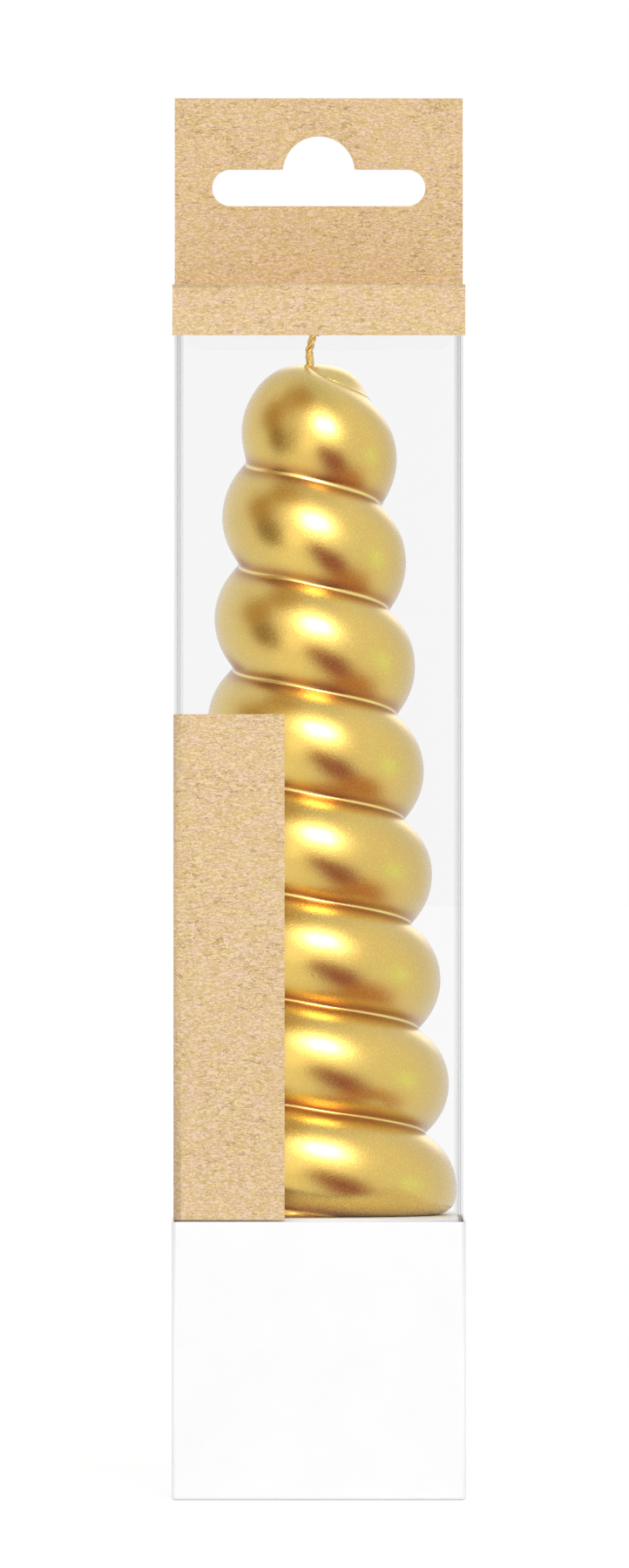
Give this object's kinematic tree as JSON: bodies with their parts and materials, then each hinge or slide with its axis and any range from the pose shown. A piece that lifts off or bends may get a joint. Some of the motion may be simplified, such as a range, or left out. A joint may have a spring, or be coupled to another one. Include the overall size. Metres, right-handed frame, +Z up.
{
  "type": "horn candle in hanging box",
  "caption": "Spiral horn candle with a wick, standing on a riser in a clear lift-off box with a hinged lid, dust flaps, a tuck and a folding hang tab with a euro slot.",
  "frame": {"origin": "centre of the white tray's underside, on the surface that the box stands on", "axes": "+Z up along the horn, -Y is the front that the picture shows, +X is the picture's right"},
  "size_m": [0.0434, 0.0439, 0.2085],
  "materials": {
    "gold_wax": "satin",
    "wick_cotton": "satin",
    "clear_sheet": "gloss",
    "white_card": "satin",
    "kraft_card": "matte"
  },
  "bodies": {
    "base": {"tray_floor": "white_card", "tray_front": "white_card", "tray_back": "white_card", "tray_left": "white_card", "tray_right": "white_card", "riser_platform": "white_card", "riser_front_leg": "white_card", "riser_front_foot": "white_card", "riser_back_leg": "white_card", "riser_back_foot": "white_card"},
    "candle": {"horn_wax": "gold_wax", "wick": "wick_cotton"},
    "cover": {"clear_front": "clear_sheet", "clear_back": "clear_sheet", "clear_left": "clear_sheet", "clear_right": "clear_sheet", "glue_flap": "clear_sheet", "side_band": "kraft_card", "header_back_leaf": "kraft_card"},
    "lid": {"lid_panel": "clear_sheet", "header_top_panel": "kraft_card", "header_front_strip": "kraft_card"},
    "tuck": {"lid_tuck": "clear_sheet"},
    "left_dust_flap": {"dust_flap_left": "clear_sheet"},
    "right_dust_flap": {"dust_flap_right": "clear_sheet"},
    "hang_tab": {"tab_front_leaf": "kraft_card", "tab_back_leaf": "kraft_card"}
  },
  "joints": [
    {"name": "cover_lift", "type": "slide", "parent": "base", "child": "cover", "axis": [0, 0, 1], "range_m": [0, 0.21]},
    {"name": "candle_lift", "type": "slide", "parent": "base", "child": "candle", "axis": [0, 0, 1], "range_m": [0, 0.0315]},
    {"name": "lid_hinge", "type": "hinge", "parent": "cover", "child": "lid", "pos_m": [0, 0.021, 0.1793], "axis": [-1, 0, 0], "range_deg": [0, 90]},
    {"name": "tuck_crease", "type": "hinge", "parent": "lid", "child": "tuck", "pos_m": [0, -0.02065, 0.1786], "axis": [-1, 0, 0], "range_deg": [0, 13.5]},
    {"name": "left_dust_crease", "type": "hinge", "parent": "cover", "child": "left_dust_flap", "pos_m": [-0.021, 0, 0.178], "axis": [0, -1, 0], "range_deg": [0, 90]},
    {"name": "right_dust_crease", "type": "hinge", "parent": "cover", "child": "right_dust_flap", "pos_m": [0.021, 0, 0.178], "axis": [0, 1, 0], "range_deg": [0, 90]},
    {"name": "tab_fold", "type": "hinge", "parent": "cover", "child": "hang_tab", "pos_m": [0, 0.0221, 0.1794], "axis": [-1, 0, 0], "range_deg": [0, 180]}
  ],
  "couplings": [
    {"joint": "candle_lift", "follows": "cover_lift", "ratio": 0.15},
    {"joint": "tuck_crease", "follows": "lid_hinge", "ratio": 0.15},
    {"joint": "left_dust_crease", "follows": "lid_hinge", "ratio": 1},
    {"joint": "right_dust_crease", "follows": "lid_hinge", "ratio": 1}
  ]
}
